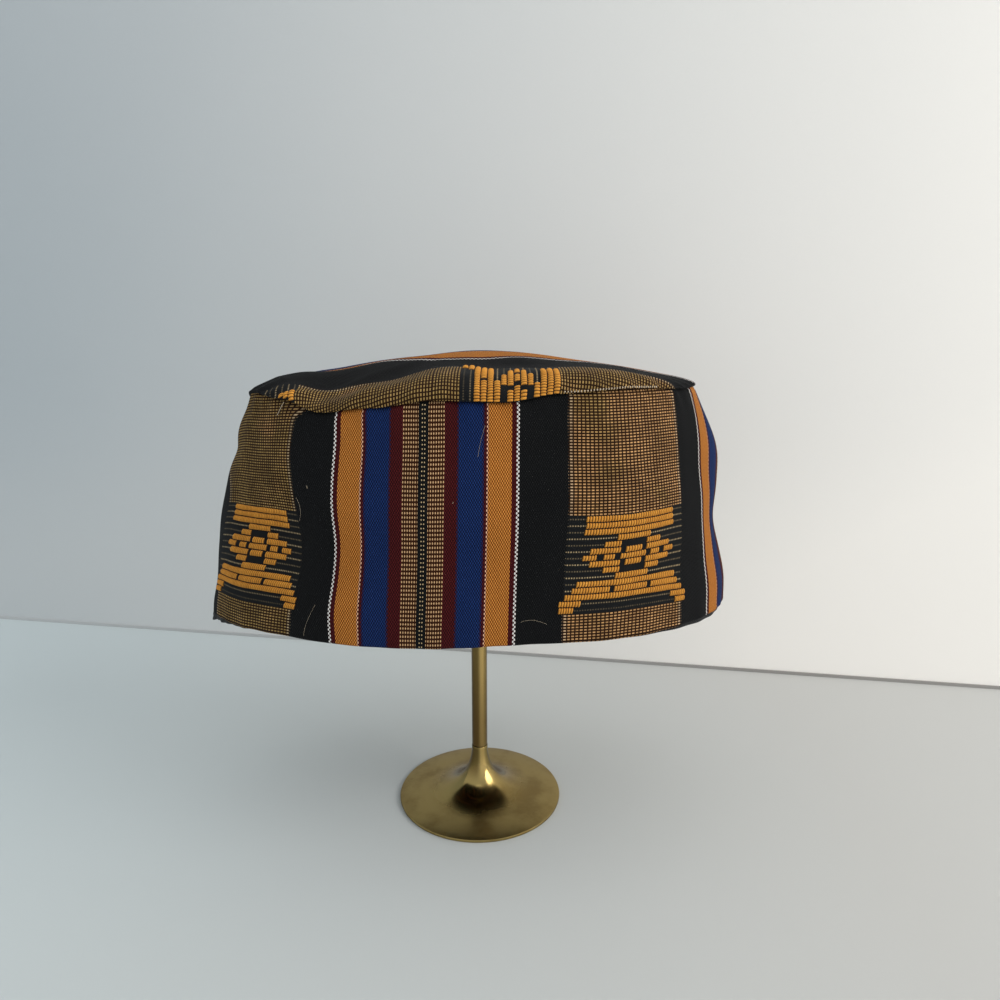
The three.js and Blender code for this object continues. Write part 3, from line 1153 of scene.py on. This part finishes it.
def ring_of_cloth(name, columns, rows, place):
    """A closed ring of cloth: a sheet bent round the wall and over itself, its edges merged."""
    grid(columns, len(rows))
    piece = named(name)
    flat = vertex_places(piece)
    column = np.rint((flat[:, 0] + 1) / 2 * columns)
    row = np.rint((flat[:, 1] + 1) / 2 * len(rows)).astype(int) % len(rows)
    angle = -np.pi + 2 * np.pi * column / columns
    up = np.array([level for level, inset in rows])[row]
    inset = np.array([inset for level, inset in rows])[row]
    move_vertices(piece, place(angle, up, inset))
    across, along = band_cloth(angle, np.clip(up, 0, 1))
    write_cloth_map(piece, across, along + (up - np.clip(up, 0, 1)) * WALL_HEIGHT)
    edit_whole(piece, bpy.ops.mesh.remove_doubles, threshold=0.001 * MM)
    face_outwards(piece)
    smooth(piece)
    return piece


def band_form(angle, up, inset):
    tucked = inset + 1.2 * hill((1.02 - up) / 0.025)
    back_seam = 0.7 * hill((np.pi - np.abs(angle)) / 0.012)
    return wall_point(angle, up, tucked + back_seam, ripples=1.0)


def side_band():
    rows = ring_rows(0, 1, 0, CLOTH_THICKNESS, face_rows=90, back_rows=22, round_rows=5)
    return ring_of_cloth("side_band_cloth", BAND_COLUMNS, rows, band_form)


def ragged_form(angle, up, inset):
    """The facing hangs lower and frays at the left corner, and a little at the right."""
    turn = np.degrees(angle)
    left = hill((turn + 80) / 22) * hill((up + 0.01) / 0.06)
    right = hill((turn - 62) / 24) * hill((up + 0.01) / 0.05)
    rough = 0.8 + 0.12 * np.sin(37 * angle) + 0.08 * np.sin(91 * angle + 1)
    point = wall_point(angle, up, inset - 3.2 * left * rough - 1.2 * right, ripples=1.0)
    point[..., 2] -= 2.6 * left * rough + 1.7 * right
    return point


def hem_facing():
    outer = CLOTH_THICKNESS + CLEARANCE
    low = -FACING_SHOWS / WALL_HEIGHT
    high = FACING_HEIGHT / WALL_HEIGHT
    rows = ring_rows(low, high, outer, outer + FACING_THICKNESS, face_rows=9, back_rows=9, round_rows=4)
    return ring_of_cloth("hem_facing_cloth", FACING_COLUMNS, rows, ragged_form)


def crown_station(ring, angle):
    """More of the crown's rings go to its shoulder."""
    edge = wall_point(angle, 1, -CROWN_LIP)
    share = 1 - 1.5 * SHOULDER_REACH / np.hypot(edge[..., 0], edge[..., 1])
    return np.where(ring <= share, ring / share, 1 + (ring - share) / (1 - share))


def crown_top():
    grid(CROWN_COLUMNS, CROWN_ROWS)
    piece = named("crown_top_cloth")
    flat = vertex_places(piece)
    disc_x = flat[:, 0] * np.sqrt(1 - flat[:, 1] ** 2 / 2)
    disc_y = flat[:, 1] * np.sqrt(1 - flat[:, 0] ** 2 / 2)
    ring = np.minimum(np.hypot(disc_x, disc_y), 1)
    angle = np.arctan2(disc_x, -disc_y)
    station = crown_station(ring, angle)
    move_vertices(piece, crown_point(angle, station, 0, ripples=1.0))
    across, along = crown_cloth(angle, station)
    write_cloth_map(piece, across, along)
    apply_modifier(piece, "SOLIDIFY", thickness=CROWN_THICKNESS * MM, offset=-1, use_even_offset=False)
    smooth(piece, 60)
    return piece


def row_middle(row):
    """How far up the cloth the middle of a row of the motif lies."""
    return MOTIF_FEET + (len(MOTIF_ROWS) - row - 0.5) * MOTIF_ROW


def float_bar(start, end, row, place):
    """One run of floats: a rope of ribs, laid on the cloth from one column of the motif to another."""
    ribs = max(2, round(end - start))
    bar = grid(RIB_FACES * ribs, RIB_FACES)
    flat = vertex_places(bar)
    run = (flat[:, 0] + 1) / 2 * ribs
    side = np.sin(flat[:, 1] * np.pi / 2)
    rib = np.minimum(run.astype(int), ribs - 1)
    uneven = np.sin(rib * 12.9 + row * 78.2)
    across = (start + (end - start) * run / ribs) * MOTIF_COLUMN + 0.14 * side
    crest = np.abs(np.sin(np.pi * run)) ** 0.6
    along = row_middle(row) + side * FLOAT_HALF_HEIGHT * (0.82 + 0.2 * crest + 0.05 * uneven)
    ends = np.clip(np.minimum(run, ribs - run) / 0.25, 0, 1) ** 0.5
    round_side = np.sqrt(np.clip(1 - side**2, 0, 1)) ** 0.8
    height = FLOAT_PROUD * round_side * (0.3 + 0.7 * crest) * (1 + 0.12 * uneven) * ends - 0.12
    move_vertices(bar, place(across, along, height))
    write_cloth_map(bar, (round(start) + run) * MOTIF_COLUMN, along)
    return bar


def motif_spans():
    """Every run of floats of one motif: row, first column and last column, on both sides of its middle."""
    for row, spans in enumerate(MOTIF_ROWS):
        for low, high in spans:
            if low == 0:
                yield row, -high, high
            else:
                yield row, low, high
                yield row, -high, -low


def on_surface(form, first, second, height, steps):
    """Points that stand proud of a surface given by two coordinates."""
    point = form(first, second)
    along_first = form(first + steps[0], second) - form(first - steps[0], second)
    along_second = form(first, second + steps[1]) - form(first, second - steps[1])
    normal = np.cross(along_first, along_second)
    normal = normal / np.linalg.norm(normal, axis=-1, keepdims=True)
    return point + normal * height[..., None]


def on_band(middle):
    def place(across, along, height):
        angle, up = band_place(across + middle, along)
        return on_surface(lambda a, u: band_form(a, u, 0), angle, up, height, (0.004, 0.004))

    return place


def on_crown(middle, shift):
    def place(across, along, height):
        angle, station = crown_place(across + middle, along + shift)
        station = np.minimum(station, SEAM_STATION)
        return on_surface(lambda a, s: crown_point(a, s, 0, 1.0), angle, station, -height, (0.004, 0.01))

    return place


def motif(place, keep):
    """The floats of one motif. keep gives the part of a run that lies on the cloth's visible face."""
    bars = []
    for row, start, end in motif_spans():
        start, end = keep(row, start, end)
        if end - start > 1.2:
            bars.append(float_bar(start, end, row, place))
    return bars


def joined(name, bars):
    deselect()
    for bar in bars:
        bar.select_set(True)
    bpy.context.view_layer.objects.active = bars[0]
    bpy.ops.object.join()
    piece = named(name)
    settle(piece)
    smooth(piece)
    return piece


def band_floats():
    bars = []
    for middle in (HALF_REPEAT, -HALF_REPEAT, 3 * HALF_REPEAT, -3 * HALF_REPEAT):
        def keep(row, start, end, middle=middle):
            up = np.full(2, row_middle(row) / WALL_HEIGHT)
            back, _ = band_cloth(np.array([-np.pi + 0.03, np.pi - 0.03]), up)
            low, high = (back - middle) / MOTIF_COLUMN
            return max(start, low), min(end, high)

        bars += motif(on_band(middle), keep)
    return joined("band_floats", bars)


def crown_floats():
    bars = []
    for middle, shift in ((-HALF_REPEAT, 0), (-HALF_REPEAT, -MOTIF_REPEAT)):
        def keep(row, start, end, middle=middle, shift=shift):
            x = row_middle(row) + shift - CROWN_CLOTH_START
            inside = (x - CAP_SHIFT) / (SEAM_HALF_LENGTH + CROWN_LIP)
            if abs(inside) > 0.96:
                return 0, 0
            angle = np.array([math.asin(inside)])
            front, _ = crown_cloth(angle, np.array([1.995]))
            return max(start, (float(front[0]) - middle) / MOTIF_COLUMN), end

        bars += motif(on_crown(middle, shift), keep)
    return joined("crown_floats", bars)


def hair(points, radius):
    """A loose thread along five points, in millimetres."""
    deselect()
    bpy.ops.curve.primitive_nurbs_path_add()
    thread = bpy.context.object
    for control, point in zip(thread.data.splines[0].points, points):
        control.co = (*(np.array(point) * MM), 1)
    thread.data.bevel_depth = radius * MM
    thread.data.bevel_resolution = 1
    thread.data.resolution_u = 8
    thread.data.use_fill_caps = True
    bpy.ops.object.convert(target="MESH")
    return bpy.context.object


def band_hair(places, radius):
    """A hair caught on the band, through five places given in degrees, share of the height and height."""
    degrees, up, proud = np.array(places, float).T
    return hair(band_form(np.radians(degrees), up, -proud), radius)


def loose_threads():
    hairs = [band_hair(places, radius) for radius, places in CAUGHT_HAIRS]
    return joined("loose_threads", hairs)


def seam_stitches():
    """Bright ends of weft that stand out along the front of the seam, to the right of the motif."""
    stitches = []
    for angle in np.radians(STITCH_TURNS):
        point = crown_point(np.array([angle]), np.array([1.93]), 0, 1.0)[0]
        out = np.array([np.sin(angle) * 0.5, -np.cos(angle), 0]) * 0.15
        place = Vector((point + out) * MM)
        deselect()
        bpy.ops.mesh.primitive_uv_sphere_add(
            segments=8, ring_count=6, radius=STITCH_RADIUS, location=place, scale=(1, 0.8, 1.5)
        )
        stitches.append(bpy.context.object)
    return joined("seam_stitches", stitches)


band = side_band()
finish_piece(band, BROCADE, "band_cotton", "side_band")
facing = hem_facing()
finish_piece(facing, FACING, "facing_cotton", "hem_facing")
crown = crown_top()
finish_piece(crown, BROCADE, "crown_cotton", "crown_top")
band_brocade = band_floats()
finish_piece(band_brocade, FLOATS, "band_cotton")
crown_brocade = crown_floats()
finish_piece(crown_brocade, FLOATS, "crown_cotton")
finish_piece(loose_threads(), LINT, "band_cotton")
finish_piece(seam_stitches(), LINT, "crown_cotton")

# Floor, backdrop, lights and camera

# Two points of the line where the wall meets the floor, in metres
WALL_FOOT_LEFT = (-1.6, 0.4463)
WALL_FOOT_RIGHT = (1.6, -0.1086)
BOARD_SIZE = 6
# Painted light: how much lighter the boards are near the table top
LOW_BOARD_PAINTED_LIGHT = 0.22
# Size of the strip that paints the shadow line along the wall's foot
SHADOW_STRIP_HEIGHT = 2 * MM
SHADOW_STRIP_DEPTH = 2 * MM
# How far the table top lies under the foot, so that the two faces don't share a place
FLOOR_GAP = 0.05 * MM


def painted_board(name, left, right):
    """Matt paint, with painted light: its tone runs from its left colour to its right colour with the room's
    window light on the right, and it is lighter near the table top.
    """
    paint, tree, shader = new_material(name, roughness=0.65)
    where = object_place(tree)
    x, _, z = axes_of(where)
    fine = noise(where, 900, 4)
    broad = noise(where, 3, 3)
    tone = fine * 0.04 + broad * 0.12
    # Painted light: the tone shifts from left to right and rises near the table top
    slope = rise_between(x, -0.45, 0.45)
    low = rise_between(z, 0.2, 0.03) * LOW_BOARD_PAINTED_LIGHT
    tone = tone - 0.08 + (slope + low)
    join(blend(tone, left, right), shader.inputs["Base Color"])
    bump(fine, 0.15, 0.05 * MM, shader)
    return paint


def see_through_from_behind(paint):
    """Let a camera behind the wall, or under the floor, look through it."""
    tree = paint.node_tree
    side = tree.nodes.new("ShaderNodeNewGeometry")
    shader = next(node for node in tree.nodes if node.type == "BSDF_PRINCIPLED")
    join(1 - Value(side.outputs["Backfacing"]), shader.inputs["Alpha"])


def studio():
    deselect()
    bpy.ops.mesh.primitive_plane_add(size=BOARD_SIZE, location=(0, 0, -FLOOR_GAP))
    floor = named("floor_board")
    settle(floor)
    floor_paint = painted_board("painted table top", TABLE_LEFT, TABLE_RIGHT)
    see_through_from_behind(floor_paint)
    floor.data.materials.append(floor_paint)
    run = Vector(WALL_FOOT_RIGHT) - Vector(WALL_FOOT_LEFT)
    middle = Vector(WALL_FOOT_LEFT) + run / 2
    turn = math.atan2(run.y, run.x)
    deselect()
    bpy.ops.mesh.primitive_plane_add(
        size=BOARD_SIZE, location=(*middle, BOARD_SIZE / 2), rotation=(math.pi / 2, 0, turn)
    )
    wall = named("wall_board")
    settle(wall)
    wall_paint = painted_board("painted wall", WALL_LEFT, WALL_RIGHT)
    see_through_from_behind(wall_paint)
    wall.data.materials.append(wall_paint)
    # A thin grey strip along the wall's foot: a painted shadow line where the wall meets the table top
    deselect()
    bpy.ops.mesh.primitive_cube_add(
        size=1,
        location=(*middle, SHADOW_STRIP_HEIGHT / 2),
        rotation=(0, 0, turn),
        scale=(BOARD_SIZE, SHADOW_STRIP_DEPTH, SHADOW_STRIP_HEIGHT),
    )
    shadow_strip = named("wall_foot_shadow_strip")
    settle(shadow_strip)
    shadow_strip.data.materials.append(painted_board("painted wall-foot shadow", SHADOW_STRIP_LEFT, SHADOW_STRIP_RIGHT))


def area_light(name, place, aim, size, energy, colour):
    light = bpy.data.lights.new(name, "AREA")
    light.shape = "DISK"
    light.size = size
    light.energy = energy
    light.color = colour
    lamp = bpy.data.objects.new(name, light)
    lamp.location = place
    bpy.context.scene.collection.objects.link(lamp)
    lamp.rotation_euler = (Vector(aim) - Vector(place)).to_track_quat("-Z", "Y").to_euler()


def lights():
    middle = (0, 0, 0.12)
    area_light("window", (1.3, -0.6, 0.8), middle, 1.1, 14, (1.0, 0.975, 0.94))
    area_light("sky", (0, -0.3, 1.7), middle, 1.8, 3, (0.98, 0.99, 1.0))
    world = bpy.data.worlds.new("room")
    world.use_nodes = True
    background = world.node_tree.nodes["Background"]
    background.inputs["Color"].default_value = (0.93, 0.97, 1.0, 1)
    background.inputs["Strength"].default_value = 0.74
    bpy.context.scene.world = world


def camera():
    data = bpy.data.cameras.new("camera")
    data.lens = CAMERA_LENS
    data.sensor_width = 36
    eye = bpy.data.objects.new("camera", data)
    eye.location = CAMERA_PLACE
    eye.rotation_euler = (math.radians(90 - CAMERA_PITCH), 0, 0)
    bpy.context.scene.collection.objects.link(eye)
    bpy.context.scene.camera = eye


studio()
lights()
camera()
bpy.context.scene.view_settings.view_transform = "Standard"
